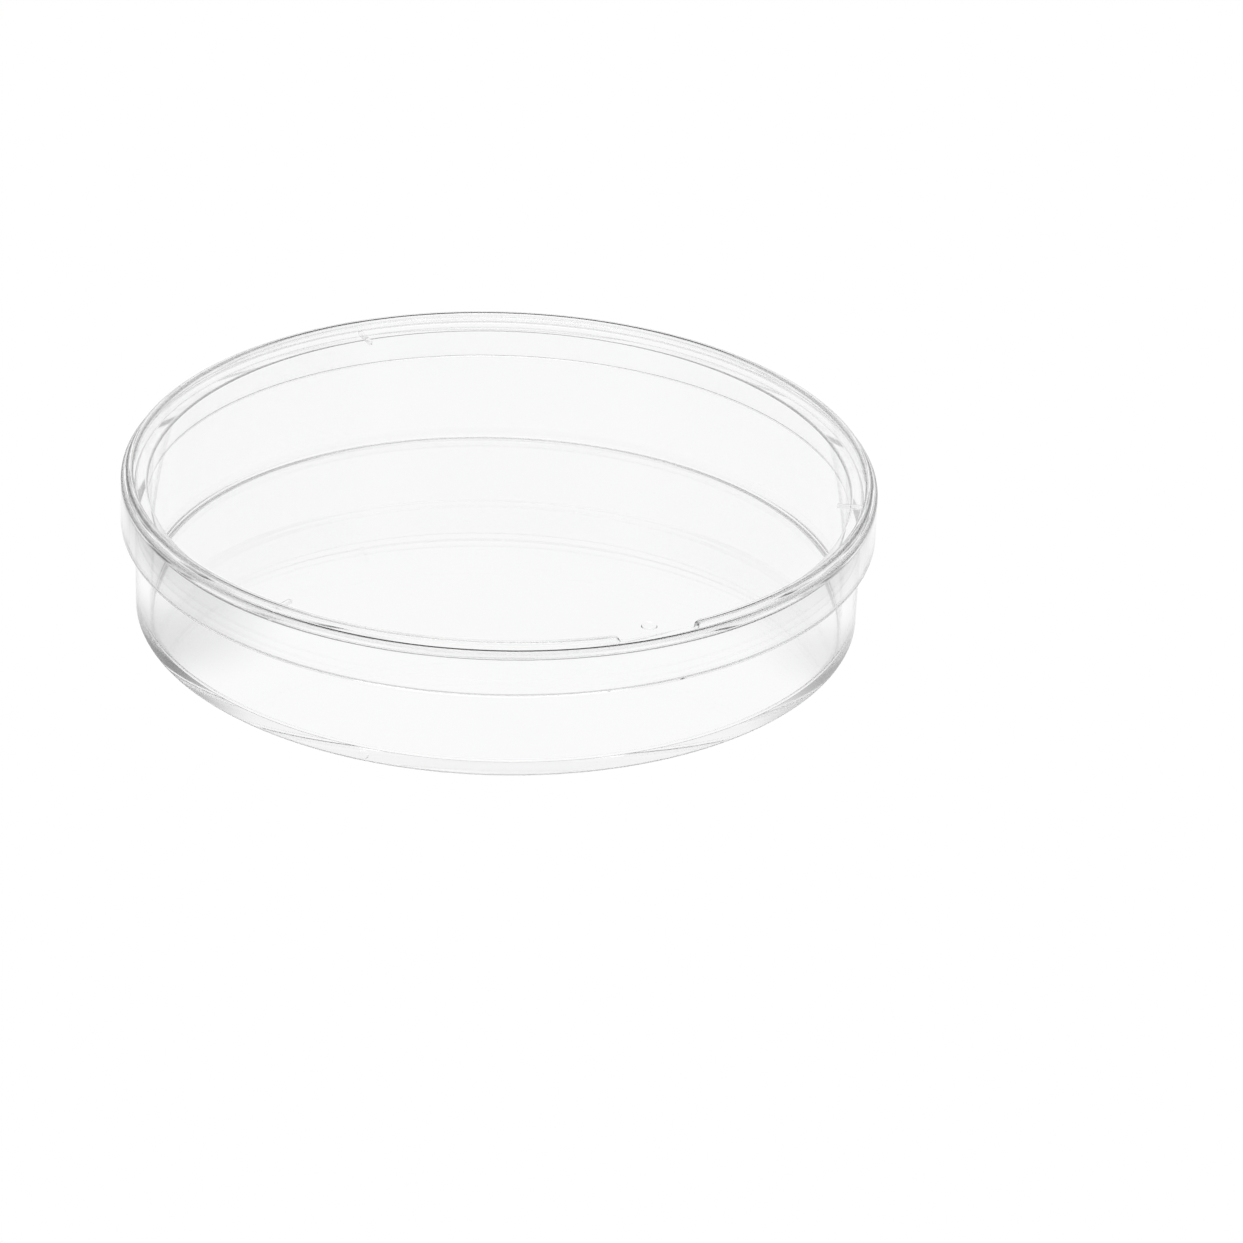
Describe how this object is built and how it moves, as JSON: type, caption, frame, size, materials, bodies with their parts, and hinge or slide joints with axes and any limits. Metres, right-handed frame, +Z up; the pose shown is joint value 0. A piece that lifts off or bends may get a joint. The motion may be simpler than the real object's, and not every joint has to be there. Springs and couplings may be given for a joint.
{
  "type": "petri dish",
  "caption": "Shallow round clear plastic culture dish with a loose overlapping lid, vent ribs under the lid and a low stacking ring on top.",
  "frame": {"origin": "centre of the face the dish rests on, on the common axis of the base and the lid", "axes": "+Z up along the axis of the dish, towards the lid; the gap in the stacking ring faces 295 degrees from +X, towards -Y"},
  "size_m": [0.09, 0.09, 0.018],
  "materials": {
    "clear_polystyrene": "water-clear, polished as moulded"
  },
  "bodies": {
    "base": {"dish_base": "clear_polystyrene"},
    "cover": {"lid": "clear_polystyrene"}
  },
  "joints": [
    {"name": "lid_lift", "type": "slide", "parent": "base", "child": "cover", "axis": [0, 0, 1], "range_m": [0, 0.02]}
  ]
}
